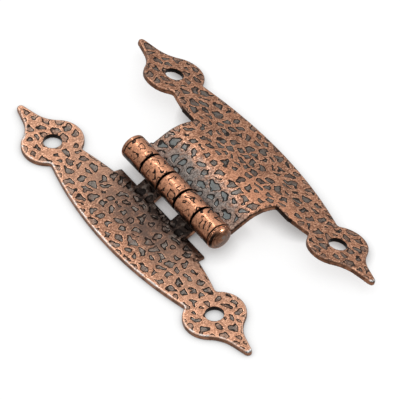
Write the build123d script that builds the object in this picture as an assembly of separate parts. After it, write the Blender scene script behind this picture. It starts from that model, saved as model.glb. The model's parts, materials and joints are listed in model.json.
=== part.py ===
from build123d import *
import os
from math import acos, asin, atan2, cos, degrees, hypot, radians, sin, sqrt, tan

# Surface hinge for a lipped cabinet door: two stamped leaves with spade-shaped ends, rolled
# knuckles and a headed pin. The frame leaf lies flat with its screw holes on the Y axis.
# The door leaf is built in its closed place and then dropped until its edge meets the same
# plane as the frame leaf's back. The pin runs along Y. All sizes are in millimetres.

# Stamped outline, the same for both leaves
sheet = 1.25
hole_spacing = 67.0
hole_diameter = 4.5
point_reach = 14.4
point_radius = 0.92
point_taper = 14.3
lobe_radius = 6.35
lobe_offset = 1.4
ogee_radius = 8.5
belly_half_width = 8.0
neck_half_width = 4.4
neck_back = 6.1
neck_fillet = 0.9
corner_fillet = 0.5
edge_round = 0.4

# Pin and barrel
pin_diameter = 3.96
running_gap = 0.05
barrel_length = 34.1
barrel_shift = 0.2
knuckle_count = 5
knuckle_gap = 0.4
knuckle_edge = 0.3
pin_axis_x = 12.45
pin_axis_z = 5.35
head_play = 0.3
tail_play = 0.05
collar_thickness = 0.2
collar_step = 0.12
head_thickness = 0.1
head_shoulder = 0.6
head_height = 0.95
tail_thickness = 1.0
tail_round = 0.4

# Frame leaf: the strip along the plate, and the tabs that roll up into knuckles
strip_reach = 8.57
strip_overhang = 0.3
roll_over_width = 2.1
roll_over_drop = 0.45
tab_slope = 24.0
tab_bend_radius = 3.75
curl_gap = 0.2

# Door leaf: a raised web from the plate down to the barrel
door_offset = 9.525
door_hole_reach = 21.76
web_slope = 38.0
web_bend_radius = 9.5
ledge_half_length = 21.8
ledge_nick = 0.264
notch_gap = 0.3

# Sizes that follow from the ones above
bore_radius = pin_diameter / 2 + running_gap
barrel_radius = bore_radius + sheet
hole_y = hole_spacing / 2
tip_y = hole_y + point_reach - point_radius
neck_y = hole_y - neck_back
bow = belly_half_width - neck_half_width
belly_radius = (neck_y**2 + bow**2) / (2 * bow)
knuckle_length = (barrel_length - (knuckle_count - 1) * knuckle_gap) / knuckle_count
knuckle_pitch = knuckle_length + knuckle_gap
barrel_start = barrel_shift - barrel_length / 2
web_half_length = -barrel_start
strip_half_length = web_half_length + strip_overhang
overlap = sheet
same_size = 0.001


def arc(centre, radius, start, end):
    """The shorter arc about centre from start to end."""
    middle = ((start - centre).normalized() + (end - centre).normalized()).normalized()
    return ThreePointArc(start, centre + middle * radius, end)


def outer_meeting(centre_a, radius_a, centre_b, radius_b):
    """Where two circles cross, on the side further from the leaf's middle line."""
    apart = centre_b - centre_a
    along = (radius_a**2 - radius_b**2 + apart.length**2) / (2 * apart.length)
    aside = sqrt(radius_a**2 - along**2)
    unit = apart.normalized()
    side = Vector(unit.Y, -unit.X)
    crossings = [centre_a + unit * along + side * aside, centre_a + unit * along - side * aside]
    return max(crossings, key=lambda point: point.X)


def toward(centre, radius, target):
    """The point of a circle that faces target."""
    return centre + (target - centre).normalized() * radius


def belly_reach(y):
    """Half the plate's width at a place along it, between its necks."""
    return belly_half_width - belly_radius + sqrt(belly_radius**2 - y**2)


def leaf_outline():
    """Spade-ended outline about the screw-hole line, made of tangent arcs."""
    tip = Vector(0, tip_y)
    flank = Vector(sin(radians(point_taper)), -cos(radians(point_taper)))
    outward = Vector(-flank.Y, flank.X)
    lobe = Vector(lobe_offset, hole_y)
    belly = Vector(belly_half_width - belly_radius, 0)
    from_lobe = tip + outward * (point_radius + ogee_radius) - lobe
    back = -from_lobe.dot(flank)
    down = back - sqrt(back**2 - from_lobe.length**2 + (lobe_radius + ogee_radius) ** 2)
    ogee = lobe + from_lobe + flank * down
    neck = outer_meeting(lobe, lobe_radius + neck_fillet, belly, belly_radius + neck_fillet)
    shoulder = tip + outward * point_radius
    flank_foot = ogee - outward * ogee_radius
    lobe_top = toward(lobe, lobe_radius, ogee)
    lobe_foot = toward(lobe, lobe_radius, neck)
    belly_end = toward(belly, belly_radius, neck)
    quarter = Curve() + [
        arc(tip, point_radius, Vector(0, tip_y + point_radius), shoulder),
        Line(shoulder, flank_foot),
        arc(ogee, ogee_radius, flank_foot, lobe_top),
        arc(lobe, lobe_radius, lobe_top, lobe_foot),
        arc(neck, neck_fillet, lobe_foot, belly_end),
        arc(belly, belly_radius, belly_end, Vector(belly_half_width, 0)),
    ]
    half = quarter + mirror(quarter, about=Plane.XZ)
    return make_face(half + mirror(half, about=Plane.YZ))


def rectangle(x_from, x_to, half_length):
    """A rectangle between two X values, centred along Y."""
    return Pos((x_from + x_to) / 2, 0) * Rectangle(x_to - x_from, 2 * half_length)


def ease_corners(plan, x, half_length):
    """Round the two inward corners where the web leaves the plate's straight ledge."""
    corners = [plan.vertices().sort_by_distance(Vector(x, side * half_length))[0] for side in (-1, 1)]
    return fillet(corners, corner_fillet)


def plate(plan, skip_beyond):
    """The flat sheet of a leaf, its upper edge eased up to a line, with its holes punched."""
    blank = extrude(plan, sheet)
    rim = blank.faces().sort_by(Axis.Z)[-1].outer_wire().edges()
    eased = [edge for edge in rim if edge.center().X < skip_beyond
             or abs(edge.center().Y) > strip_half_length + edge_round]
    blank = fillet(eased, edge_round)
    for y in (-hole_y, hole_y):
        blank -= Pos(0, y, sheet / 2) * Cylinder(hole_diameter / 2, 2 * sheet)
    return blank


def knuckle_span(index):
    """Start and end along Y of one knuckle, counted from the head of the pin."""
    start = barrel_start + index * knuckle_pitch
    return start, start + knuckle_length


def along_y(profile, start, end):
    """A profile drawn in X and Z, drawn out along Y."""
    return extrude(profile, end - start, dir=(0, 1, 0)).moved(Pos(0, start, 0))


def eased_ends(solid, bend_radius, size):
    """Ease the edges at both ends of a sheet drawn out along Y, on the side of its bend radius."""
    rims = [edge for edge in solid.edges().filter_by(GeomType.CIRCLE)
            if abs(edge.radius - bend_radius) < same_size]
    return fillet(rims, size)


def at(x, z):
    """A point of a profile that is later drawn out along Y."""
    return Vector(x, 0, z)


def polar(centre, radius, angle):
    """A point round a centre in the X and Z plane, with its angle in degrees from +X."""
    return centre + at(radius * cos(radians(angle)), radius * sin(radians(angle)))


def swept(centre, radius, start, end):
    """An arc in the X and Z plane between two angles."""
    return ThreePointArc(polar(centre, radius, start), polar(centre, radius, (start + end) / 2),
                         polar(centre, radius, end))


def curl_turn():
    """How far a knuckle's sheet rolls round before its end nears the sheet again."""
    return 360 - degrees(acos(1 - (sheet + curl_gap) / barrel_radius))


def tab_bend():
    """Where the frame leaf's tab starts to rise, and where its underside meets the barrel."""
    touch = polar(at(pin_axis_x, pin_axis_z), barrel_radius, tab_slope - 90)
    foot_x = touch.X - touch.Z / tan(radians(tab_slope))
    return foot_x - (tab_bend_radius + sheet) * tan(radians(tab_slope / 2)), touch


def tab_profile(root_x):
    """Sheet that rises from the frame plate, passes under the pin and rolls up over it."""
    bend_x, touch = tab_bend()
    axis = at(pin_axis_x, pin_axis_z)
    outer_bend = tab_bend_radius + sheet
    bend = at(bend_x, outer_bend)
    under = tab_slope - 90
    end = under + curl_turn()
    outline = [
        Line(at(root_x, 0), at(bend_x, 0)),
        swept(bend, outer_bend, -90, under),
        Line(polar(bend, outer_bend, under), touch),
        swept(axis, barrel_radius, under, end),
        Line(polar(axis, barrel_radius, end), polar(axis, bore_radius, end)),
        swept(axis, bore_radius, end, under),
        Line(polar(axis, bore_radius, under), polar(bend, tab_bend_radius, under)),
        swept(bend, tab_bend_radius, under, -90),
        Line(at(bend_x, sheet), at(root_x, sheet)),
        Line(at(root_x, sheet), at(root_x, 0)),
    ]
    return make_face(outline)


def strip_profile(root_x, width, drop):
    """The frame leaf's strip in section, its upper edge drawn down over a width by a drop."""
    flat_x = strip_reach - width
    roll_radius = (width**2 + drop**2) / (2 * drop)
    sag = roll_radius - sqrt(roll_radius**2 - (width / 2)**2)
    outline = [
        Line(at(root_x, 0), at(strip_reach, 0)),
        Line(at(strip_reach, 0), at(strip_reach, sheet - drop)),
        ThreePointArc(at(strip_reach, sheet - drop), at(flat_x + width / 2, sheet - sag),
                      at(flat_x, sheet)),
        Line(at(flat_x, sheet), at(root_x, sheet)),
        Line(at(root_x, sheet), at(root_x, 0)),
    ]
    return make_face(outline)


def frame_leaf():
    """Flat leaf with its strip, whose tabs roll up into the second and fourth knuckles."""
    root_x = min(tab_bend()[0], strip_reach - roll_over_width) - overlap
    plan = leaf_outline() - rectangle(root_x, strip_reach + overlap, strip_half_length)
    leaf = plate(plan, root_x - overlap)
    end_strip = strip_profile(root_x, roll_over_width, roll_over_drop)
    middle_strip = strip_profile(root_x, edge_round, edge_round)
    first_tab, second_tab = knuckle_span(1), knuckle_span(3)
    leaf += along_y(end_strip, -strip_half_length, first_tab[0])
    leaf += along_y(middle_strip, first_tab[1], second_tab[0])
    leaf += along_y(end_strip, second_tab[1], strip_half_length)
    for start, end in (first_tab, second_tab):
        tab = along_y(tab_profile(root_x), start, end)
        leaf += eased_ends(tab, barrel_radius, knuckle_edge)
    return leaf


def web_bend():
    """Centre of the bend that joins the sloping web to the door leaf's plate."""
    slope = radians(web_slope)
    under_z = door_offset - pin_axis_z
    centre_z = under_z - web_bend_radius
    reach = centre_z * cos(slope) + barrel_radius + web_bend_radius
    return at(reach / sin(slope), centre_z)


def sheet_along(radius, distance):
    """A point on the sloping sheet's face at a radius from the pin, so far past the barrel."""
    slope = radians(web_slope)
    return polar(at(0, 0), radius, web_slope - 90) + at(distance * cos(slope), distance * sin(slope))


def web_profile():
    """The raised web, from the plate down its bend to just clear of the frame's knuckles."""
    bend = web_bend()
    side = 90 + web_slope
    start = sqrt((barrel_radius + notch_gap)**2 - bore_radius**2)
    top_radius = web_bend_radius + sheet
    root_x = bend.X + overlap
    under_z = bend.Z + web_bend_radius
    outline = [
        Line(at(root_x, under_z), at(bend.X, under_z)),
        swept(bend, web_bend_radius, 90, side),
        Line(polar(bend, web_bend_radius, side), sheet_along(barrel_radius, start)),
        Line(sheet_along(barrel_radius, start), sheet_along(bore_radius, start)),
        Line(sheet_along(bore_radius, start), polar(bend, top_radius, side)),
        swept(bend, top_radius, side, 90),
        Line(at(bend.X, under_z + sheet), at(root_x, under_z + sheet)),
        Line(at(root_x, under_z + sheet), at(root_x, under_z)),
    ]
    return make_face(outline), start


def door_knuckle_profile(reach):
    """The web's sheet where it rolls under and over the pin."""
    under = web_slope - 90
    end = under - curl_turn()
    axis = at(0, 0)
    outline = [
        Line(sheet_along(barrel_radius, reach), sheet_along(barrel_radius, 0)),
        swept(axis, barrel_radius, under, end),
        Line(polar(axis, barrel_radius, end), polar(axis, bore_radius, end)),
        swept(axis, bore_radius, end, under),
        Line(sheet_along(bore_radius, 0), sheet_along(bore_radius, reach)),
        Line(sheet_along(bore_radius, reach), sheet_along(barrel_radius, reach)),
    ]
    return make_face(outline)


def door_plan():
    """The door leaf's plate, whose inner side is cut straight where the web leaves it."""
    ledge_x = -belly_reach(ledge_half_length) - ledge_nick
    plan = leaf_outline() - rectangle(-2 * belly_half_width, ledge_x, ledge_half_length)
    plan += rectangle(ledge_x, 0, ledge_half_length)
    plan += rectangle(web_bend().X - door_hole_reach, 0, web_half_length)
    return ease_corners(plan, ledge_x, web_half_length)


def door_drop():
    """How far the door leaf swings down before its outer edge meets the frame leaf's plane."""
    reach = door_hole_reach + belly_half_width
    rise = door_offset - pin_axis_z
    return degrees(atan2(rise, reach) + asin(pin_axis_z / hypot(reach, rise)))


def door_leaf():
    """Raised leaf whose web runs down to the barrel and rolls into the other knuckles."""
    profile, start = web_profile()
    leaf = Pos(door_hole_reach, 0, door_offset - pin_axis_z) * plate(door_plan(), belly_half_width)
    web = along_y(profile, -web_half_length, web_half_length)
    leaf += eased_ends(web, web_bend_radius + sheet, edge_round)
    knuckle = door_knuckle_profile(start + overlap)
    for index in range(0, knuckle_count, 2):
        leaf += eased_ends(along_y(knuckle, *knuckle_span(index)), barrel_radius, knuckle_edge)
    return Pos(pin_axis_x, 0, pin_axis_z) * Rot(0, door_drop(), 0) * leaf


def rounded(centre_x, centre_y, radius, start, end):
    """An arc of the pin's profile between two angles, in degrees from the end with the head."""
    angles = (radians(angle) for angle in (start, (start + end) / 2, end))
    points = [(centre_x + radius * sin(angle), centre_y - radius * cos(angle)) for angle in angles]
    return ThreePointArc(*points)


def pin():
    """Plain pin with a domed head on a thin collar at one end and a low head at the other."""
    shank = pin_diameter / 2
    collar_y = barrel_start - head_play
    rim_y = collar_y - collar_thickness
    shoulder_y = rim_y - head_thickness
    apex_y = shoulder_y - head_height
    rim = barrel_radius - collar_step
    shoulder_x = rim - head_shoulder
    dome = (shoulder_x**2 + head_height**2 - head_shoulder**2) / (2 * (head_height - head_shoulder))
    lean = degrees(asin(shoulder_x / (dome - head_shoulder)))
    seat_y = barrel_start + barrel_length + tail_play
    tail_y = seat_y + tail_thickness
    tail_x = barrel_radius - tail_round
    outline = [
        rounded(0, apex_y + dome, dome, 0, lean),
        rounded(shoulder_x, shoulder_y, head_shoulder, lean, 90),
        Polyline((rim, shoulder_y), (rim, rim_y), (barrel_radius, rim_y), (barrel_radius, collar_y),
                 (shank, collar_y), (shank, seat_y), (barrel_radius, seat_y),
                 (barrel_radius, tail_y - tail_round)),
        rounded(tail_x, tail_y - tail_round, tail_round, 90, 180),
        Polyline((tail_x, tail_y), (0, tail_y), (0, apex_y)),
    ]
    return Pos(pin_axis_x, 0, pin_axis_z) * revolve(make_face(outline), Axis.Y)


os.makedirs("parts", exist_ok=True)
for name, shape in (("frame_leaf", frame_leaf()), ("door_leaf", door_leaf()), ("hinge_pin", pin())):
    export_step(shape, f"parts/{name}.step")
    print(name, "volume", round(shape.volume, 1), "solids", len(shape.solids()))
print("door leaf swings", round(door_drop(), 3), "degrees from closed to lying")
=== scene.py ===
"""Dresses the leaves and the pin of a lipped-door surface hinge in hammered antique copper.

The two leaves are fine copies of the modelled sheets, with the hammered marks pressed into
them. The marks are worked out on the flat sheet, before it was bent and rolled, so they run
on round the bends. The pin keeps its modelled form.
"""

import json
import math
from types import SimpleNamespace
from typing import NamedTuple

import bpy
import numpy as np
from bpy.props import FloatProperty, FloatVectorProperty, PointerProperty
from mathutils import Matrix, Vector, kdtree


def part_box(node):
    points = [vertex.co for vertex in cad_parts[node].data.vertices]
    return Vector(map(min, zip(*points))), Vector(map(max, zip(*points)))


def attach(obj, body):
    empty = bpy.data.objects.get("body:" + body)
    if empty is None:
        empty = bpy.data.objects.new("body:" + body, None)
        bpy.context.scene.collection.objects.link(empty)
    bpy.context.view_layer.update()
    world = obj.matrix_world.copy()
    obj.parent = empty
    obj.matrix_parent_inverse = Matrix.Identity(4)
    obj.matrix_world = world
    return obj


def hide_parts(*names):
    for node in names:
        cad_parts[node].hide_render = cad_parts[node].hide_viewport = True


bl_info = {
    "name": "Hammered Copper Hinge",
    "version": (1, 0, 0),
    "blender": (4, 5, 0),
    "location": "3D View > Sidebar > Hinge",
    "description": "Presses hammer marks into two hinge leaves and gives them an aged copper finish",
    "category": "Object",
}


class Fold(NamedTuple):
    """How a leaf's sheet is folded, seen along the pin."""

    tilt: float  # how far its flat plane is turned about the pin
    turn: int  # which way its knuckles are rolled
    touch: float  # angle round the pin at which the sheet runs into the roll


class Finish(NamedTuple):
    """What sets one leaf's finish apart from the other's."""

    film: str  # film near the barrel; on the flat leaf it is partly painted shade of the barrel and the bend
    marks_film: str  # film in the marks there
    near_barrel_from: float  # distance from the barrel at which that film starts to end, in millimetres
    near_barrel_to: float  # distance at which it has ended
    middle_shade_share: float  # share of the painted shade in grey brown over the middle of the sheet
    crest_sheen: float  # share of painted highlight on the crest of the raised web


MM = 0.001

FRAME_FOLD = Fold(tilt=0.0, turn=1, touch=math.radians(-66))
DOOR_FOLD = Fold(tilt=math.radians(18.241), turn=-1, touch=math.radians(-70.241))
FRAME_FINISH = Finish(
    film="char", marks_film="soot", near_barrel_from=3.6, near_barrel_to=5.8, middle_shade_share=1.0, crest_sheen=0.0,
)
DOOR_FINISH = Finish(
    film="ash", marks_film="pale", near_barrel_from=3.0, near_barrel_to=9.0, middle_shade_share=0.0, crest_sheen=0.6,
)

# The hammer marks, in millimetres. The radius rounds off the largest marks, and noise moves
# each outline in and out by the raggedness. The grain is that of the mesh that takes them.
MARK_SPACING = 3.15
MARK_DEPTH = 0.1
MARK_MARGIN = 0.46
MARK_SPREAD = 0.5
MARK_RADIUS = 1.35
MARK_RAGGEDNESS = 1.1
MESH_GRAIN = 0.24

# Places along the pin, in millimetres from the middle of the hinge. The blur is how far to
# each side of its place the edge of the near neck's black is soft.
NOTCHED_PART = 22.5
NEAR_NECK = -16.98
NECK_BLUR = 0.08
CHIPPED_TIP = (-46.9, -47.3)
LEDGE_START = (13.0, 15.0)
LEDGE_STOP = (23.0, 25.0)

# Steps and skins for reading a mesh, in millimetres.
UNROLL_STEP = 0.1
ROLL_SKIN = 0.03
HOLE_SKIN = 0.12
FARTHEST_RIM = 4.0
FARTHEST_REACH = 30.0

# How dark a black or brown layer is where it is darkest: the dark line round the marks, and the painted shade on
# the inner walls, the cut walls and the underside.
DARKEST_LINE = 0.92
INNER_WALL_SHADE = 0.92
WALL_SHADE = 0.85
UNDERSIDE_SHADE = 0.6

# Where the camera looks, in millimetres, and how near and far it sees, in metres.
AIM = (18.39, -0.95, 0.0)
CLIP_NEAR, CLIP_FAR = 0.01, 20.0

# The floor: its width in metres, how far it lies below the hinge in millimetres, its grey.
FLOOR_SIZE = 4.0
FLOOR_DROP = 0.02
FLOOR_GREY = 0.35

# The floor's contact shade, in millimetres: its reach round the flat leaf, how much longer that
# is round the raised ledge, how that changes again at the raised tips, and where these parts are.
SHADE_REACH = 4.5
LEDGE_SHADE = 0.8
TIP_SHADE = -3.1
RAISED_PART = (18.0, 22.0)
TIP_PART = (20.0, 32.0)

# Directions of the bright parts of the sky.
BRIGHT_SKY = (-0.1, 0.45, 0.9)
SIDE_SKY = (0.75, 0.5, 0.4)

# Place and size of each soft box, in metres.
SOFT_BOXES = {
    "key": ((0.75, 0.05, 0.65), (0.5, 0.5)),
    "band": ((0.12, 0.52, 0.75), (0.1, 0.5)),
    "glint": ((0.596, -0.644, 0.479), (0.34, 0.34)),
    "fill": ((-0.72, -0.15, 0.6), (0.4, 0.4)),
}

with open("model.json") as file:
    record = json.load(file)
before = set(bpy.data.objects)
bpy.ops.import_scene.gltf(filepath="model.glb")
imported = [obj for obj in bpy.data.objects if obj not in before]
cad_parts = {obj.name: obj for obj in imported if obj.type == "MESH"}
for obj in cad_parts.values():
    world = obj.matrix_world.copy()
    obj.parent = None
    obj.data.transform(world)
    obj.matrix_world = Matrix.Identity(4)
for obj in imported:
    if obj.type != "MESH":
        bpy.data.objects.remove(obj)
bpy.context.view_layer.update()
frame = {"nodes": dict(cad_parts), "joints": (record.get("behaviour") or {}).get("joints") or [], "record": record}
swing = frame["joints"][0]
pin_axis = Vector(swing["pos_m"])
pin_low, pin_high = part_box("hinge_pin")
barrel_radius = (pin_high.x - pin_low.x) / 2
barrel_half = min(-pin_low.y, pin_high.y)


class HammerSettings(bpy.types.PropertyGroup):
    """The marks pressed into the show face of the sheet."""

    spacing: FloatProperty(
        name="Spacing", description="Distance between neighbouring marks",
        default=MARK_SPACING * MM, unit="LENGTH", precision=5,
    )
    depth: FloatProperty(
        name="Depth", description="Depth of a mark below the face",
        default=MARK_DEPTH * MM, unit="LENGTH", precision=5,
    )
    margin: FloatProperty(
        name="Margin", default=MARK_MARGIN,
        description="Least half width of the copper left between two marks, in millimetres",
    )
    spread: FloatProperty(
        name="Spread", default=MARK_SPREAD,
        description="How much more copper the smallest marks have round them, in millimetres",
    )
    grain: FloatProperty(
        name="Mesh Grain", description="Size of the faces that the marks are pressed into",
        default=MESH_GRAIN * MM, unit="LENGTH", precision=5,
    )


class CopperSettings(bpy.types.PropertyGroup):
    """Colours of the aged copper."""

    copper: FloatVectorProperty(
        name="Copper", description="The raised face of the sheet", subtype="COLOR",
        default=(0.46, 0.212, 0.122),
    )
    # Also laid as painted highlight on the lips, edges, outer rim and outer parts of the leaves.
    rubbed_and_highlight: FloatVectorProperty(
        name="Worn Copper", description="Edges and lips that are rubbed bright", subtype="COLOR",
        default=(0.80, 0.465, 0.31),
    )
    # Also laid as painted shade on the cut walls, the underside and the ledge's rim, and as a painted dark
    # reflection on the pin's face.
    brown_film_and_shade: FloatVectorProperty(
        name="Brown Film", description="Brown film that clouds and speckles the copper", subtype="COLOR",
        default=(0.15, 0.07, 0.043),
    )
    patina: FloatVectorProperty(
        name="Patina", description="Grey film left in the marks", subtype="COLOR",
        default=(0.20, 0.17, 0.148),
    )
    # On the pin's head this grey is a painted reflection spot.
    ash: FloatVectorProperty(
        name="Grey Film", description="Grey film left where the barrel shelters the raised leaf",
        subtype="COLOR", default=(0.245, 0.225, 0.208),
    )
    pale: FloatVectorProperty(
        name="Pale Film", description="Grey film in the raised leaf's marks beside the barrel",
        subtype="COLOR", default=(0.145, 0.155, 0.152),
    )
    # Also mixed into the painted highlight on the rubbed edges and the flat leaf's outer rim.
    bare: FloatVectorProperty(
        name="Bare Metal", description="Base metal where the plating is rubbed or chipped off",
        subtype="COLOR", default=(0.80, 0.80, 0.78),
    )
    # Painted shade over the middle of the flat leaf.
    middle_shade: FloatVectorProperty(
        name="Veil", description="Grey brown film over the middle of the flat leaf", subtype="COLOR",
        default=(0.105, 0.07, 0.056),
    )
    # Partly dark patina, partly painted shade of the barrel and the bend beside it.
    char: FloatVectorProperty(
        name="Char", description="Nearly black film on the flat leaf beside the barrel",
        subtype="COLOR", default=(0.052, 0.038, 0.032),
    )
    # On the raised web's crest this is a painted highlight.
    polished_and_highlight: FloatVectorProperty(
        name="Polished Copper", description="The rolled barrel and the raised crest, rubbed bright",
        subtype="COLOR", default=(0.71, 0.335, 0.195),
    )
    # Also painted shade: black beside the barrel, low on it, on the inner walls, and a painted reflection on the
    # pin's shoulder.
    soot: FloatVectorProperty(
        name="Dark Line", description="Black left round each mark and in the corners", subtype="COLOR",
        default=(0.014, 0.011, 0.01),
    )


class StudioSettings(bpy.types.PropertyGroup):
    """Camera and lights."""

    azimuth: FloatProperty(
        name="Azimuth", description="Where the camera stands round the hinge", subtype="ANGLE",
        default=math.radians(-34.56),
    )
    elevation: FloatProperty(
        name="Elevation", description="Height of the camera above the horizon", subtype="ANGLE",
        default=math.radians(46.51),
    )
    distance: FloatProperty(
        name="Distance", description="From the camera to the point it looks at", default=1.6757,
        unit="LENGTH",
    )
    lens: FloatProperty(
        name="Focal Length", description="Focal length of the camera in millimetres", default=645.34,
    )
    key: FloatProperty(
        name="Key Light", description="Power of the main soft box", default=1.15, unit="POWER",
    )
    sky: FloatProperty(name="Sky", description="Soft light from above and behind", default=0.95)
    side: FloatProperty(name="Side Sky", description="Soft light from the right", default=0.26)
    shade: FloatProperty(
        name="Shade", description="Soft light from the dark side of the room", default=0.15,
    )
    dome: FloatProperty(name="Dome", description="Even light that falls on the floor", default=1.0)
    bounce: FloatProperty(
        name="Bounce", description="Light that comes back up from the table", default=0.6,
    )
    band: FloatProperty(
        name="Band", description="Power of the strip light behind the hinge", default=0.9, unit="POWER",
    )
    glint: FloatProperty(
        name="Glint", description="Power of the small light before the pin's head", default=10.0,
        unit="POWER",
    )
    fill: FloatProperty(
        name="Fill", description="Power of the soft box on the left", default=0.5, unit="POWER",
    )
    glow: FloatProperty(
        name="Floor Glow", description="Light that shines through the floor", default=0.7,
    )


def scene_settings():
    """The three groups of settings of the scene."""
    scene = bpy.context.scene
    return scene.hinge_hammer, scene.hinge_copper, scene.hinge_studio


def film_colours():
    """The colours of the copper and its films, each with its alpha."""
    copper = scene_settings()[1]
    names = CopperSettings.__annotations__
    return SimpleNamespace(**{name: (*getattr(copper, name), 1.0) for name in names})


def link(tree, value, socket):
    """Feed a socket from another socket, or set it to a number or a colour."""
    if isinstance(value, bpy.types.NodeSocket):
        tree.links.new(value, socket)
    else:
        socket.default_value = value


def math_node(tree, operation, *values):
    """The result of one math node."""
    node = tree.nodes.new("ShaderNodeMath")
    node.operation = operation
    for value, socket in zip(values, node.inputs):
        link(tree, value, socket)
    return node.outputs[0]


def times(tree, *values):
    """The product of several values."""
    result = values[0]
    for value in values[1:]:
        result = math_node(tree, "MULTIPLY", result, value)
    return result


def without(tree, value):
    """What is left of one after a value is taken off."""
    return math_node(tree, "SUBTRACT", 1.0, value)


def vector_node(tree, operation, first, second=(0.0, 0.0, 0.0), scale=1.0):
    """What one vector math node gives, a vector or a number."""
    node = tree.nodes.new("ShaderNodeVectorMath")
    node.operation = operation
    link(tree, first, node.inputs[0])
    if operation == "SCALE":
        link(tree, scale, node.inputs["Scale"])
    else:
        link(tree, second, node.inputs[1])
    return node.outputs["Value" if operation in ("LENGTH", "DOT_PRODUCT") else "Vector"]


def split_node(tree, vector):
    """The three parts of a vector."""
    node = tree.nodes.new("ShaderNodeSeparateXYZ")
    link(tree, vector, node.inputs[0])
    return node.outputs


def ramp_node(tree, value, low, high, low_to=0.0, high_to=1.0):
    """A value taken smoothly from one range to another and held at its ends."""
    node = tree.nodes.new("ShaderNodeMapRange")
    node.interpolation_type = "SMOOTHSTEP"
    for item, socket in zip((value, low, high, low_to, high_to), node.inputs):
        link(tree, item, socket)
    return node.outputs[0]


def noise_node(tree, vector, scale, detail=1.0, roughness=0.5, output="Fac"):
    """Noise at so many waves for each unit of the vector."""
    node = tree.nodes.new("ShaderNodeTexNoise")
    link(tree, vector, node.inputs["Vector"])
    link(tree, scale, node.inputs["Scale"])
    link(tree, detail, node.inputs["Detail"])
    link(tree, roughness, node.inputs["Roughness"])
    return node.outputs[output]


def cell_node(tree, vector, feature, output):
    """One result of a flat Voronoi pattern with cells one unit apart."""
    node = tree.nodes.new("ShaderNodeTexVoronoi")
    node.voronoi_dimensions = "2D"
    node.feature = feature
    link(tree, vector, node.inputs["Vector"])
    link(tree, 1.0, node.inputs["Scale"])
    link(tree, 0.82, node.inputs["Randomness"])
    return node.outputs[output]


def mix_node(tree, share, first, second):
    """Two colours mixed by a share."""
    node = tree.nodes.new("ShaderNodeMix")
    node.data_type = "RGBA"
    for item, socket in ((share, node.inputs[0]), (first, node.inputs[6]), (second, node.inputs[7])):
        link(tree, item, socket)
    return node.outputs[2]


def bump_node(tree, distance, height):
    """The normal that one bump node gives."""
    node = tree.nodes.new("ShaderNodeBump")
    node.inputs["Distance"].default_value = distance
    link(tree, height, node.inputs["Height"])
    return node.outputs[0]


def pushed(tree, vector, scale, amount):
    """A vector pushed about by smooth noise."""
    shift = vector_node(tree, "SUBTRACT", noise_node(tree, vector, scale, 0.0, output="Color"), (0.5,) * 3)
    return vector_node(tree, "ADD", vector, vector_node(tree, "SCALE", shift, scale=amount))


def mark_depth(tree, sheet, spacing, margin, spread):
    """How far inside a hammer mark a place of the sheet is, in millimetres, below zero outside."""
    wandering = pushed(tree, pushed(tree, sheet, 0.28, 2.0), 0.7, 0.9)
    cells = vector_node(tree, "SCALE", wandering, scale=math_node(tree, "DIVIDE", 1.0, spacing))
    edge = math_node(tree, "MULTIPLY", cell_node(tree, cells, "DISTANCE_TO_EDGE", "Distance"), spacing)
    chance = split_node(tree, cell_node(tree, cells, "F1", "Color"))[0]
    limit = math_node(tree, "MULTIPLY_ADD", chance, spread, margin)
    inside = math_node(tree, "SUBTRACT", edge, limit)
    away = math_node(tree, "MULTIPLY", cell_node(tree, cells, "F1", "Distance"), spacing)
    inside = math_node(tree, "SMOOTH_MIN", inside, math_node(tree, "SUBTRACT", MARK_RADIUS, away), 0.3)
    ragged = math_node(tree, "MULTIPLY_ADD", noise_node(tree, sheet, 0.8, 0.0), MARK_RAGGEDNESS, -0.52)
    return math_node(tree, "ADD", inside, ragged)


def fine_mesh(node, grain):
    """A copy of a modelled piece with small even faces that lie on its surface."""
    source = frame["nodes"][node]
    copy = bpy.data.objects.new(f"{node}_blank", source.data.copy())
    bpy.context.scene.collection.objects.link(copy)
    remesh = copy.modifiers.new("Even faces", "REMESH")
    remesh.mode = "VOXEL"
    remesh.voxel_size = grain
    wrap = copy.modifiers.new("Back on the surface", "SHRINKWRAP")
    wrap.target = source
    wrap.wrap_method = "NEAREST_SURFACEPOINT"
    shaped = copy.evaluated_get(bpy.context.evaluated_depsgraph_get())
    mesh = bpy.data.meshes.new_from_object(shaped)
    bpy.data.objects.remove(copy)
    return mesh


def read_points(mesh):
    """Places and normals of a mesh's points, in millimetres and as unit vectors."""
    places = np.empty(len(mesh.vertices) * 3, np.float32)
    normals = np.empty(len(mesh.vertices) * 3, np.float32)
    mesh.vertices.foreach_get("co", places)
    mesh.vertex_normals.foreach_get("vector", normals)
    return places.reshape(-1, 3) / MM, normals.reshape(-1, 3)


def write_values(mesh, name, kind, values):
    """Store a value or a vector for each point of a mesh."""
    field = "vector" if kind == "FLOAT_VECTOR" else "value"
    mesh.attributes.new(name, kind, "POINT").data.foreach_set(field, np.ravel(values).astype(np.float32))


def rim_distance(places, wall):
    """Distance in millimetres from each point to the nearest point on a cut edge, up to a limit."""
    rim = places[wall]
    tree = kdtree.KDTree(len(rim))
    for index, place in enumerate(rim):
        tree.insert(place, index)
    tree.balance()
    return np.minimum([tree.find(place)[2] for place in places], FARTHEST_RIM)


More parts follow.
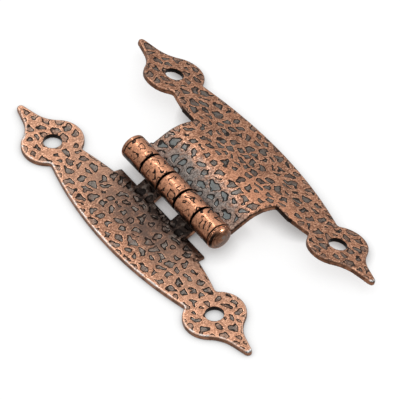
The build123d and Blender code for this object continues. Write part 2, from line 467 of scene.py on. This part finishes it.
def hole_walls(places):
    """Which points lie on the wall of a screw hole, listed as a row of holes or one by one."""
    found = np.zeros(len(places), bool)
    for mount in frame["record"]["mounts"]:
        if mount["kind"] not in ("bolt_pattern", "bore"):
            continue
        dims = mount["dims"]
        radius = dims["r_mm"] if mount["kind"] == "bore" else dims["hole_r_mm"]
        offsets = (-0.5, 0.5) if mount["kind"] == "bolt_pattern" else (0,)
        for offset in offsets:
            centre = np.array(mount["pos_m"]) / MM + np.array([0, offset * dims.get("spacing_y_mm", 0), 0])
            arm = places - centre
            along = arm @ np.array(mount["axis"])
            across = np.linalg.norm(arm - np.outer(along, mount["axis"]), axis=1)
            found |= across < radius + HOLE_SKIN
    return found


def unrolled(flat, facing):
    """Distance along the sheet for each distance along the leaf's plane, its slopes laid flat."""
    place = ((flat - flat.min()) / UNROLL_STEP).astype(int)
    shown = facing > 0.3
    count = np.bincount(place[shown], minlength=place.max() + 1)
    total = np.bincount(place[shown], facing[shown], minlength=place.max() + 1)
    lengths = UNROLL_STEP / np.where(count > 0, total / np.maximum(count, 1), 1.0)
    ends = flat.min() + UNROLL_STEP * np.arange(len(lengths) + 1)
    return lambda value: np.interp(value, ends, np.concatenate(([0.0], np.cumsum(lengths))))


def between(value, none, full):
    """A share from zero to one of how far a value has come from one limit to another."""
    return np.clip((value - none) / (full - none), 0, 1)


def sheet_values(mesh, fold):
    """Store what the finish follows: the place on the flat sheet, the faces, the rims and the barrel."""
    places, normals = read_points(mesh)
    radius = barrel_radius / MM
    across = np.array([math.cos(fold.tilt), 0.0, -math.sin(fold.tilt)])
    upward = np.array([math.sin(fold.tilt), 0.0, math.cos(fold.tilt)])
    arm = places - np.array(pin_axis) / MM
    flat = arm @ across
    out = np.hypot(arm[:, 0], arm[:, 2])
    past = np.maximum(np.abs(arm[:, 1]) - barrel_half / MM, 0)
    angle = (fold.turn * (np.arctan2(arm[:, 2], arm[:, 0]) - fold.touch)) % (2 * math.pi)
    rolled = out < radius + ROLL_SKIN
    facing = normals @ upward
    inward = fold.turn * (normals @ across)
    endward = np.abs(normals[:, 1])
    outward = -normals[:, 0] - 0.5 * np.maximum(normals[:, 2], 0)

    developed = unrolled(flat[~rolled], facing[~rolled])
    touch_flat = radius * math.cos(fold.touch + fold.tilt)
    along = np.where(rolled, developed(touch_flat) + fold.turn * radius * angle, developed(flat))
    cut = (~rolled & (np.abs(facing) < 0.4)) | (rolled & (endward > 0.6))
    hole = hole_walls(places) & ~rolled
    notched = np.abs(places[:, 1]) < NOTCHED_PART
    values = {
        "show": np.where(rolled, 0.0, between(facing, 0.35, 0.75)),
        "rolled": rolled,
        # Cut walls; their brown is painted shade.
        "wall": np.where(rolled, 0.0, between(np.abs(facing), 0.75, 0.35)),
        # The underside; it is laid with painted shade.
        "under": ~rolled & (facing < -0.3),
        "seam": np.where(rolled, between(endward, 0.35, 0.65), 0.0),
        "hole": hole,
        "rim": rim_distance(places, cut),
        "border": rim_distance(places, cut & ~hole),
        "reach": np.minimum(np.hypot(out, past) - radius, FARTHEST_REACH),
        # The barrel's low left side, laid with painted shade in black.
        "low": between(outward, 0.78, 0.96) * rolled,
        # Inner walls facing the barrel, laid with painted shade in black.
        "inner": ~rolled & (inward > 0.4) & (facing < 0.7) & notched,
    }
    write_values(mesh, "sheet", "FLOAT_VECTOR", np.stack([along, places[:, 1], np.zeros(len(places))], 1))
    for name, value in values.items():
        write_values(mesh, name, "FLOAT", value)


def press_marks(name, hammer):
    """A group of geometry nodes that sinks the show face where the marks are."""
    tree = bpy.data.node_groups.new(name, "GeometryNodeTree")
    tree.interface.new_socket("Geometry", in_out="INPUT", socket_type="NodeSocketGeometry")
    tree.interface.new_socket("Geometry", in_out="OUTPUT", socket_type="NodeSocketGeometry")
    start = tree.nodes.new("NodeGroupInput")
    end = tree.nodes.new("NodeGroupOutput")

    def stored(attribute, kind):
        node = tree.nodes.new("GeometryNodeInputNamedAttribute")
        node.data_type = kind
        node.inputs["Name"].default_value = attribute
        return node.outputs["Attribute"]

    sheet = stored("sheet", "FLOAT_VECTOR")
    inside = mark_depth(tree, sheet, hammer.spacing / MM, hammer.margin, hammer.spread)
    sunk = ramp_node(tree, inside, -0.12, 0.14)
    clear_of_rim = ramp_node(tree, stored("rim", "FLOAT"), 0.25, 0.9)
    drop = times(tree, sunk, clear_of_rim, stored("show", "FLOAT"), -hammer.depth)
    normal = tree.nodes.new("GeometryNodeInputNormal")
    move = tree.nodes.new("GeometryNodeSetPosition")
    link(tree, start.outputs[0], move.inputs["Geometry"])
    link(tree, vector_node(tree, "SCALE", normal.outputs[0], scale=drop), move.inputs["Offset"])
    link(tree, move.outputs[0], end.inputs[0])
    return tree


def hammered_leaf(node, name, body, fold, material):
    """A leaf's fine mesh with its marks pressed in, in place of the modelled leaf."""
    hammer = scene_settings()[0]
    mesh = fine_mesh(node, hammer.grain)
    sheet_values(mesh, fold)
    blank = bpy.data.objects.new(name + "_blank", mesh)
    bpy.context.scene.collection.objects.link(blank)
    blank.modifiers.new("Marks", "NODES").node_group = press_marks(name + "_marks", hammer)
    pressed = blank.evaluated_get(bpy.context.evaluated_depsgraph_get())
    final = bpy.data.meshes.new_from_object(pressed)
    bpy.data.objects.remove(blank)
    final.shade_smooth()
    leaf = bpy.data.objects.new(name, final)
    bpy.context.scene.collection.objects.link(leaf)
    final.materials.clear()
    final.materials.append(material)
    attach(leaf, body)
    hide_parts(node)


def new_group(name, inputs, outputs):
    """An empty shader node group with named sockets."""
    tree = bpy.data.node_groups.new(name, "ShaderNodeTree")
    for label, kind, default in inputs:
        socket = tree.interface.new_socket(label, in_out="INPUT", socket_type=kind)
        if default is not None:
            socket.default_value = default
    for label, kind in outputs:
        tree.interface.new_socket(label, in_out="OUTPUT", socket_type=kind)
    return tree, tree.nodes.new("NodeGroupInput"), tree.nodes.new("NodeGroupOutput")


def marks_group():
    """Masks of the hammer marks: a mark's floor, the dark line and the bright lip round it, its height."""
    found = bpy.data.node_groups.get("Hammer marks")
    if found:
        return found
    number = "NodeSocketFloat"
    tree, start, end = new_group(
        "Hammer marks",
        [("Sheet", "NodeSocketVector", None), ("Spacing", number, MARK_SPACING),
         ("Margin", number, MARK_MARGIN), ("Spread", number, MARK_SPREAD)],
        [("Floor", number), ("Line", number), ("Lip", number), ("Height", number)],
    )
    inside = mark_depth(tree, *(start.outputs[i] for i in range(4)))
    rough = math_node(tree, "MULTIPLY_ADD", noise_node(tree, start.outputs[0], 3.0, 2.0), 0.16, -0.08)
    inside = math_node(tree, "ADD", inside, rough)
    past_line = ramp_node(tree, inside, 0.14, 0.34, 1.0, 0.0)
    past_lip = ramp_node(tree, inside, -0.24, -0.17, 1.0, 0.0)
    link(tree, ramp_node(tree, inside, -0.06, 0.06), end.inputs["Floor"])
    link(tree, times(tree, ramp_node(tree, inside, -0.18, -0.06), past_line), end.inputs["Line"])
    link(tree, times(tree, ramp_node(tree, inside, -0.38, -0.26), past_lip), end.inputs["Lip"])
    link(tree, ramp_node(tree, inside, -0.16, 0.16, 1.0, 0.0), end.inputs["Height"])
    return tree


def tarnish_group():
    """Copper clouded with brown film and speckled light and dark."""
    found = bpy.data.node_groups.get("Tarnish")
    if found:
        return found
    colour, number = "NodeSocketColor", "NodeSocketFloat"
    tree, start, end = new_group(
        "Tarnish",
        [("Place", "NodeSocketVector", None), ("Metal", colour, None), ("Bright", colour, None),
         ("Film", colour, None), ("Cloud", number, 0.4), ("Speckle", number, 0.5)],
        [("Color", colour), ("Speck", number)],
    )
    place, metal, bright, film, clouding, speckling = (start.outputs[i] for i in range(6))
    cloud = noise_node(tree, place, 0.3, 3.0, 0.6)
    speck = noise_node(tree, place, 2.2, 4.0, 0.8)
    tone = mix_node(tree, times(tree, ramp_node(tree, cloud, 0.36, 0.66), clouding), metal, film)
    tone = mix_node(tree, times(tree, ramp_node(tree, speck, 0.5, 0.62), speckling), tone, film)
    tone = mix_node(tree, times(tree, ramp_node(tree, speck, 0.48, 0.38), speckling), tone, bright)
    link(tree, tone, end.inputs["Color"])
    link(tree, speck, end.inputs["Speck"])
    return tree


def place_group(tree, group, **values):
    """Put a node group in a tree with its own values."""
    node = tree.nodes.new("ShaderNodeGroup")
    node.node_tree = group
    for label, value in values.items():
        link(tree, value, node.inputs[label])
    return node.outputs


def new_material(name):
    """A material with a Principled shader, its tree and its place in millimetres."""
    material = bpy.data.materials.new(name)
    material.use_nodes = True
    tree = material.node_tree
    shader = tree.nodes["Principled BSDF"]
    place = tree.nodes.new("ShaderNodeTexCoord")
    return material, tree, shader, vector_node(tree, "SCALE", place.outputs["Object"], scale=1 / MM)


def stored_value(tree, name, output="Fac"):
    """A value stored on the mesh."""
    node = tree.nodes.new("ShaderNodeAttribute")
    node.attribute_name = name
    return node.outputs[output]


class LeafPainter:
    """Lays a leaf's colours over each other, each by a share that changes over the sheet.

    Distances are in millimetres. The noises lie between about 0.3 and 0.7, and the narrower the
    range that is taken of one, the sharper its spots.
    """

    def __init__(self, tree, place, finish):
        hammer = scene_settings()[0]
        self.tree = tree
        self.finish = finish
        self.colours = film_colours()

        sheet = stored_value(tree, "sheet", "Vector")
        self.show = stored_value(tree, "show")
        self.rolled = stored_value(tree, "rolled")
        self.rim = stored_value(tree, "rim")
        self.border = stored_value(tree, "border")
        self.reach = stored_value(tree, "reach")
        self.wall = stored_value(tree, "wall")
        self.along_pin = split_node(tree, sheet)[1]
        self.toward_end = math_node(tree, "ABSOLUTE", self.along_pin)
        self.across_pin = split_node(tree, place)[0]

        self.marks = place_group(
            tree, marks_group(), Sheet=sheet, Spacing=hammer.spacing / MM, Margin=hammer.margin,
            Spread=hammer.spread,
        )
        metal = place_group(
            tree, tarnish_group(), Place=place, Metal=self.colours.copper, Bright=self.colours.rubbed_and_highlight,
            Film=self.colours.brown_film_and_shade, Cloud=0.62, Speckle=1.0,
        )
        self.tone = metal["Color"]
        self.speck = metal["Speck"]
        self.patch = noise_node(tree, place, 0.45, 2.0)
        self.blotch = noise_node(tree, place, 0.7, 3.0, 0.65)
        self.fleck = noise_node(tree, place, 0.5, 1.0, 0.5)

        # The film near the barrel; on the flat leaf it is partly painted shade of the barrel and the bend.
        ragged = math_node(tree, "MULTIPLY_ADD", self.blotch, 8.0, math_node(tree, "ADD", self.reach, -4.0))
        flat = without(tree, self.rolled)
        near = self.ramp(ragged, finish.near_barrel_from, finish.near_barrel_to, 1.0, 0.0)
        self.near_barrel_share = self.product(near, flat)
        self.open_face = self.product(self.show, without(tree, self.near_barrel_share), flat)
        # Painted shade over the middle of the flat leaf, lighter towards its ends.
        self.dimmed_middle = self.product(
            self.ramp(self.reach, 8.0, 18.0, 1.0, 0.0), self.ramp(self.blotch, 0.3, 0.6, 0.6, 1.0),
            self.ramp(self.toward_end, 6.0, 26.0, 1.0, 0.5), finish.middle_shade_share,
        )
        # Painted shade in brown along the rim beside the raised leaf's ledge.
        self.ledge = self.product(
            self.ramp(self.rim, 0.25, 0.6, 0.75, 0.0), self.ramp(self.toward_end, *LEDGE_START),
            self.ramp(self.toward_end, *LEDGE_STOP, 1.0, 0.0), self.ramp(self.reach, 20.0, 18.0),
            1.0 - finish.middle_shade_share,
        )

    def ramp(self, value, low, high, low_to=0.0, high_to=1.0):
        """A value taken smoothly from one range to another and held at its ends."""
        return ramp_node(self.tree, value, low, high, low_to, high_to)

    def product(self, *values):
        """The product of several shares."""
        return times(self.tree, *values)

    def mix(self, share, first, second):
        """Two colours mixed by a share."""
        return mix_node(self.tree, share, first, second)

    def lay(self, share, colour):
        """Lay a colour over the leaf by a share."""
        self.tone = self.mix(share, self.tone, colour)

    def shade_and_light_face(self):
        """Painted shade on the middle, painted light on the outer parts, painted highlight on the raised crest,
        painted shade in brown on the ledge's rim.
        """
        # Painted light: the outer parts of the flat leaf are laid lighter.
        outer_part = math_node(
            self.tree, "MAXIMUM", self.ramp(self.toward_end, 2.0, 26.0, 0.0, 0.7),
            self.ramp(self.reach, 12.0, 24.0, 0.0, 0.7),
        )
        # Painted highlight on the crest of the raised web, stronger towards the near end.
        crest = self.product(
            self.ramp(self.reach, 7.5, 10.5), self.ramp(self.reach, 13.0, 18.0, 1.0, 0.0),
            self.ramp(self.along_pin, 6.0, -12.0, 0.4, 1.8), self.finish.crest_sheen,
            self.ramp(self.speck, 0.42, 0.58, 1.0, 0.25),
        )
        self.lay(self.dimmed_middle, self.colours.middle_shade)
        self.lay(self.product(outer_part, self.finish.middle_shade_share, 0.32), self.colours.rubbed_and_highlight)
        self.lay(crest, self.colours.polished_and_highlight)
        self.lay(self.ledge, self.colours.brown_film_and_shade)

    def film_and_shade_near_barrel(self):
        """The film near the barrel, on the flat leaf partly painted shade of the barrel and the bend, and a
        painted shadow in black close to the barrel.
        """
        colours, middle_shade_share = self.colours, self.finish.middle_shade_share
        film = getattr(colours, self.finish.film)
        film = self.mix(self.ramp(self.blotch, 0.48, 0.62, 0.0, 0.4), film, colours.brown_film_and_shade)
        film = self.mix(self.ramp(self.speck, 0.46, 0.58, 0.0, 0.65 + 0.25 * middle_shade_share), film, colours.soot)
        film = self.mix(self.ramp(self.speck, 0.43, 0.36, 0.0, 0.7), film, colours.patina)
        dark_flecks = self.product(self.ramp(self.fleck, 0.5, 0.57), middle_shade_share, 0.9)
        film = self.mix(dark_flecks, film, colours.soot)
        grey_flecks = self.product(self.ramp(self.fleck, 0.46, 0.4), middle_shade_share, 0.55)
        film = self.mix(grey_flecks, film, colours.patina)
        less_at_ends = self.ramp(self.toward_end, 8.0, 16.0, 0.92, 0.6)
        self.lay(self.product(self.near_barrel_share, self.show, less_at_ends), film)
        # Painted shadow of the barrel, in black on the sheet close beside it.
        close = self.product(
            self.ramp(self.reach, 0.3, 3.0, 0.5, 0.0), self.ramp(self.toward_end, 6.0, 15.0, 1.0, 0.0),
            self.show,
        )
        self.lay(close, colours.soot)

    def colour_marks(self):
        """Bright lips, partly painted highlight, grey and brown floors and black lines of the hammer marks."""
        colours = self.colours
        shine = self.product(
            self.open_face, self.ramp(self.patch, 0.38, 0.58, 0.8, 0.15),
            self.ramp(self.dimmed_middle, 0.0, 1.0, 1.0, 0.3),
        )
        floor = self.mix(self.ramp(self.patch, 0.45, 0.7, 0.0, 0.6), colours.patina, colours.brown_film_and_shade)
        floor = self.mix(self.ramp(self.speck, 0.48, 0.62, 0.0, 0.6), floor, colours.soot)
        floor = self.mix(self.near_barrel_share, floor, getattr(colours, self.finish.marks_film))
        less_at_rim = self.ramp(self.rim, 0.6, 2.2, 0.45, 1.0)
        # The lips are partly rubbed copper and partly painted highlight.
        self.lay(self.product(self.marks["Lip"], shine), colours.rubbed_and_highlight)
        self.lay(self.product(self.marks["Floor"], self.show, less_at_rim), floor)
        self.lay(self.product(self.marks["Line"], self.show, DARKEST_LINE), colours.soot)

    def wear_light_and_shade_rims(self):
        """Rubbed edges and painted highlights on them and on the flat leaf's outer rim, with bare metal, and
        painted shade in brown on the cut walls and underside.
        """
        colours = self.colours
        # Rubbed edges, partly painted highlight.
        edge = self.product(
            self.ramp(self.border, 0.2, 0.7, 0.9, 0.0), self.open_face, without(self.tree, self.ledge),
            0.25 + 0.75 * self.finish.middle_shade_share,
        )
        self.lay(edge, self.mix(self.ramp(self.speck, 0.46, 0.58, 0.0, 0.4), colours.rubbed_and_highlight, colours.bare))
        outer_rim = self.product(
            # Painted highlight, with bare metal, along the flat leaf's outer rim.
            self.ramp(self.border, 0.4, 0.8, 0.75, 0.0), self.show, self.ramp(self.across_pin, 0.0, -4.0),
        )
        self.lay(outer_rim, self.mix(self.ramp(self.patch, 0.4, 0.6), colours.rubbed_and_highlight, colours.bare))
        # Painted shade in brown on the cut walls.
        side = self.mix(self.ramp(self.patch, 0.4, 0.65), colours.brown_film_and_shade, colours.copper)
        self.lay(self.product(self.wall, WALL_SHADE), side)
        # Painted shade in brown on the underside.
        self.lay(self.product(stored_value(self.tree, "under"), UNDERSIDE_SHADE), colours.brown_film_and_shade)

    def polish_barrel(self):
        """Rubbed copper on the knuckles, with scratches, painted shade in black low on the barrel's left side, and
        black at its near neck.
        """
        colours = self.colours
        barrel = self.mix(self.ramp(self.speck, 0.4, 0.58, 0.0, 0.85), colours.polished_and_highlight, colours.copper)
        barrel = self.mix(self.product(self.ramp(self.speck, 0.54, 0.62), 0.7), barrel, colours.brown_film_and_shade)
        filled = self.product(self.ramp(self.fleck, 0.62, 0.66), self.marks["Floor"])
        lines = self.product(self.marks["Line"], self.ramp(self.fleck, 0.40, 0.47))
        # Painted shade in black low on the barrel's left side.
        low_side_shade = self.product(stored_value(self.tree, "low"), self.ramp(self.fleck, 0.38, 0.52, 0.5, 1.0))
        neck = self.ramp(self.along_pin, NEAR_NECK + NECK_BLUR, NEAR_NECK - NECK_BLUR)
        for black in (math_node(self.tree, "MAXIMUM", lines, filled), low_side_shade, neck):
            barrel = self.mix(black, barrel, colours.soot)
        self.lay(self.rolled, barrel)

    def blacken_corners(self):
        """Black seams and holes, painted shade in black on the inner walls, and the chips of bare metal on the
        near tip.
        """
        colours = self.colours
        self.lay(stored_value(self.tree, "seam"), colours.soot)
        chipped = self.product(
            self.ramp(self.along_pin, *CHIPPED_TIP), self.ramp(self.rim, 0.9, 0.3),
            self.ramp(self.wall, 0.9, 0.5),
        )
        self.lay(chipped, self.mix(self.ramp(self.speck, 0.52, 0.56), colours.bare, colours.soot))
        self.lay(self.product(stored_value(self.tree, "hole"), self.wall), colours.soot)
        # Painted shade in black on the inner walls facing the barrel.
        self.lay(self.product(stored_value(self.tree, "inner"), INNER_WALL_SHADE), colours.soot)


def leaf_material(name, finish):
    """Aged copper sheet: grey marks with dark lines, rubbed edges, painted highlights, dark film and painted shade
    near the barrel.
    """
    material, tree, shader, place = new_material(name)
    leaf = LeafPainter(tree, place, finish)
    leaf.shade_and_light_face()
    leaf.film_and_shade_near_barrel()
    leaf.colour_marks()
    leaf.wear_light_and_shade_rims()
    leaf.polish_barrel()
    leaf.blacken_corners()
    link(tree, leaf.tone, shader.inputs["Base Color"])
    shader.inputs["Metallic"].default_value = 1.0
    dull = math_node(tree, "MULTIPLY_ADD", leaf.rolled, -0.1, leaf.ramp(leaf.speck, 0.3, 0.8, 0.36, 0.52))
    link(tree, dull, shader.inputs["Roughness"])
    pitting = leaf.ramp(leaf.rolled, 0.0, 1.0, 0.3, 0.12)
    height = math_node(tree, "MULTIPLY_ADD", leaf.speck, pitting, leaf.marks["Height"])
    link(tree, bump_node(tree, 0.06 * MM, height), shader.inputs["Normal"])
    return material


def pin_material():
    """Copper of the pin; its head has a painted dark reflection over the face, a painted grey reflection spot, and
    a painted black reflection on the left of its shoulder.
    """
    colours = film_colours()
    material, tree, shader, place = new_material("pin_copper")
    arm = split_node(tree, vector_node(tree, "SUBTRACT", place, tuple(pin_axis / MM)))
    flattened = tree.nodes.new("ShaderNodeCombineXYZ")
    link(tree, arm[0], flattened.inputs[0])
    link(tree, arm[2], flattened.inputs[2])
    out = flattened.outputs[0]
    away = vector_node(tree, "LENGTH", out)
    head = ramp_node(tree, arm[1], pin_low.y / MM + 1.0, pin_low.y / MM + 0.9)
    metal = place_group(
        tree, tarnish_group(), Place=place, Metal=colours.copper, Bright=colours.rubbed_and_highlight,
        Film=colours.brown_film_and_shade, Cloud=0.5, Speckle=0.5,
    )

    rings = ramp_node(tree, noise_node(tree, away, 2.0, 1.0), 0.35, 0.6, 0.35, 0.9)
    # Painted dark reflection over the middle of the head's face, in rings.
    middle = times(tree, head, ramp_node(tree, away, 2.1, 2.7, 1.0, 0.0))
    tone = mix_node(tree, times(tree, middle, rings), metal["Color"], colours.brown_film_and_shade)
    # Painted grey reflection spot up and to the right of the head's middle.
    from_reflection_spot = vector_node(tree, "LENGTH", vector_node(tree, "SUBTRACT", out, (0.6, 0.0, 0.35)))
    grey_reflection_spot = times(tree, head, ramp_node(tree, from_reflection_spot, 0.35, 0.75, 0.7, 0.0))
    tone = mix_node(tree, grey_reflection_spot, tone, colours.ash)
    # Painted black reflection on the left of the head's shoulder.
    left = ramp_node(tree, vector_node(tree, "DOT_PRODUCT", out, (-0.94, 0.0, 0.34)), 1.3, 2.6)
    shoulder = times(tree, left, head, ramp_node(tree, away, 2.3, 2.6),
                     ramp_node(tree, away, 3.05, 3.15, 1.0, 0.0), 0.95)
    tone = mix_node(tree, shoulder, tone, colours.soot)

    link(tree, tone, shader.inputs["Base Color"])
    link(tree, bump_node(tree, MM, times(tree, away, away, head, -0.1)), shader.inputs["Normal"])
    shader.inputs["Metallic"].default_value = 1.0
    link(tree, ramp_node(tree, metal["Speck"], 0.3, 0.8, 0.22, 0.36), shader.inputs["Roughness"])
    return material


def studio_camera(studio, aim):
    """The camera at the photograph's viewing angle."""
    turn, rise = studio.azimuth, studio.elevation
    back = Vector((math.sin(turn) * math.cos(rise), -math.cos(turn) * math.cos(rise), math.sin(rise)))
    data = bpy.data.cameras.new("camera")
    data.lens = studio.lens
    data.clip_start, data.clip_end = CLIP_NEAR, CLIP_FAR
    camera = bpy.data.objects.new("camera", data)
    camera.location = aim + back * studio.distance
    camera.rotation_euler = (-back).to_track_quat("-Z", "Y").to_euler()
    bpy.context.scene.collection.objects.link(camera)
    bpy.context.scene.camera = camera


def floor_material(glow):
    """Pale floor that glows evenly, less where the hinge stands close over it."""
    material = bpy.data.materials.new("pale_floor")
    material.use_nodes = True
    tree = material.node_tree
    shader = tree.nodes["Principled BSDF"]
    shader.inputs["Base Color"].default_value = (FLOOR_GREY, FLOOR_GREY, FLOOR_GREY, 1.0)
    shader.inputs["Roughness"].default_value = 0.9
    shader.inputs["Specular IOR Level"].default_value = 0.1
    shader.inputs["Emission Color"].default_value = (1.0, 1.0, 1.0, 1.0)
    contact = tree.nodes.new("ShaderNodeAmbientOcclusion")
    spot = split_node(tree, tree.nodes.new("ShaderNodeTexCoord").outputs["Object"])
    raised = ramp_node(tree, spot[0], *(edge * MM for edge in RAISED_PART))
    tips = ramp_node(tree, math_node(tree, "ABSOLUTE", spot[1]), *(edge * MM for edge in TIP_PART))
    more = math_node(tree, "MULTIPLY_ADD", tips, TIP_SHADE * MM, LEDGE_SHADE * MM)
    reach = math_node(tree, "MULTIPLY_ADD", raised, more, SHADE_REACH * MM)
    link(tree, reach, contact.inputs["Distance"])
    link(tree, times(tree, contact.outputs["AO"], glow), shader.inputs["Emission Strength"])
    return material


def soft_sky(studio):
    """A white sky, brighter behind and on the right; to the floor it looks the same all round."""
    world = bpy.data.worlds.new("soft_light")
    world.use_nodes = True
    tree = world.node_tree
    direction = tree.nodes.new("ShaderNodeTexCoord").outputs["Generated"]
    toward = vector_node(tree, "DOT_PRODUCT", direction, tuple(Vector(BRIGHT_SKY).normalized()))
    beside = vector_node(tree, "DOT_PRODUCT", direction, tuple(Vector(SIDE_SKY).normalized()))
    above = ramp_node(tree, split_node(tree, direction)[2], -0.15, 0.1)
    strength = math_node(
        tree, "ADD", ramp_node(tree, toward, 0.1, 1.0, studio.shade, studio.sky),
        ramp_node(tree, beside, 0.2, 1.0, 0.0, studio.side),
    )
    below = times(tree, without(tree, above), studio.bounce)
    strength = math_node(tree, "ADD", times(tree, strength, above), below)
    on_floor = tree.nodes.new("ShaderNodeLightPath").outputs["Is Diffuse Ray"]
    even = math_node(tree, "SUBTRACT", studio.dome, strength)
    strength = math_node(tree, "MULTIPLY_ADD", on_floor, even, strength)
    tree.nodes["Background"].inputs["Color"].default_value = (1.0, 1.0, 1.0, 1.0)
    link(tree, strength, tree.nodes["Background"].inputs["Strength"])
    return world


def soft_box(name, aim, power):
    """A soft box that faces a point and lights the metal, not the floor."""
    place, size = SOFT_BOXES[name]
    data = bpy.data.lights.new(name, "AREA")
    data.shape = "RECTANGLE"
    data.size, data.size_y = size
    data.energy = power
    light = bpy.data.objects.new(name, data)
    light.location = place
    light.rotation_euler = (aim - Vector(place)).to_track_quat("-Z", "Y").to_euler()
    light.visible_diffuse = False
    bpy.context.scene.collection.objects.link(light)
    return light


class HINGE_OT_frame_leaf(bpy.types.Operator):
    """Press the marks into the flat leaf and give it its aged copper"""

    bl_idname = "hinge.frame_leaf"
    bl_label = "Dress Frame Leaf"

    def execute(self, context):
        material = leaf_material("frame_leaf_copper", FRAME_FINISH)
        hammered_leaf("frame_leaf", "hammered_frame_leaf", "frame", FRAME_FOLD, material)
        return {"FINISHED"}


class HINGE_OT_door_leaf(bpy.types.Operator):
    """Press the marks into the raised leaf and give it its aged copper"""

    bl_idname = "hinge.door_leaf"
    bl_label = "Dress Door Leaf"

    def execute(self, context):
        material = leaf_material("door_leaf_copper", DOOR_FINISH)
        hammered_leaf("door_leaf", "hammered_door_leaf", "door", DOOR_FOLD, material)
        return {"FINISHED"}


class HINGE_OT_pin(bpy.types.Operator):
    """Give the pin its rubbed copper"""

    bl_idname = "hinge.pin"
    bl_label = "Dress Pin"

    def execute(self, context):
        pin = frame["nodes"]["hinge_pin"]
        pin.data.materials.clear()
        pin.data.materials.append(pin_material())
        pin.data.shade_smooth()
        return {"FINISHED"}


class HINGE_OT_studio(bpy.types.Operator):
    """Lay the pale floor and set the soft lights and the camera"""

    bl_idname = "hinge.studio"
    bl_label = "Set Up Studio"

    def execute(self, context):
        studio = scene_settings()[2]
        context.scene.view_settings.view_transform = "Standard"
        aim = Vector(AIM) * MM
        studio_camera(studio, aim)

        bpy.ops.mesh.primitive_plane_add(size=FLOOR_SIZE, location=(0, 0, -FLOOR_DROP * MM))
        floor = context.object
        floor.name = "floor"
        floor.data.materials.append(floor_material(studio.glow))
        floor.visible_glossy = False

        context.scene.world = soft_sky(studio)
        lights = {name: soft_box(name, aim, getattr(studio, name)) for name in SOFT_BOXES}
        lit = bpy.data.collections.new("lit_by_glint")
        lit.objects.link(frame["nodes"]["hinge_pin"])
        lights["glint"].light_linking.receiver_collection = lit
        return {"FINISHED"}


class HINGE_PT_panel(bpy.types.Panel):
    """The hinge's settings and steps"""

    bl_label = "Hammered Hinge"
    bl_idname = "HINGE_PT_panel"
    bl_space_type = "VIEW_3D"
    bl_region_type = "UI"
    bl_category = "Hinge"

    def draw(self, context):
        for group in scene_settings():
            for name in group.__annotations__:
                self.layout.prop(group, name)
        for step in STEPS:
            self.layout.operator(step.bl_idname)


STEPS = (HINGE_OT_frame_leaf, HINGE_OT_door_leaf, HINGE_OT_pin, HINGE_OT_studio)
GROUPS = {"hinge_hammer": HammerSettings, "hinge_copper": CopperSettings, "hinge_studio": StudioSettings}


def register():
    """Make the settings, the steps and the panel known."""
    for name, kind in GROUPS.items():
        bpy.utils.register_class(kind)
        setattr(bpy.types.Scene, name, PointerProperty(type=kind))
    for kind in (*STEPS, HINGE_PT_panel):
        bpy.utils.register_class(kind)


def unregister():
    """Take the settings, the steps and the panel away again."""
    for kind in (HINGE_PT_panel, *reversed(STEPS)):
        bpy.utils.unregister_class(kind)
    for name, kind in reversed(GROUPS.items()):
        delattr(bpy.types.Scene, name)
        bpy.utils.unregister_class(kind)


def main():
    """Dress each piece and set up the studio."""
    register()
    bpy.ops.hinge.frame_leaf()
    bpy.ops.hinge.door_leaf()
    bpy.ops.hinge.pin()
    bpy.ops.hinge.studio()
    bpy.context.view_layer.update()


if __name__ == "__main__":
    main()
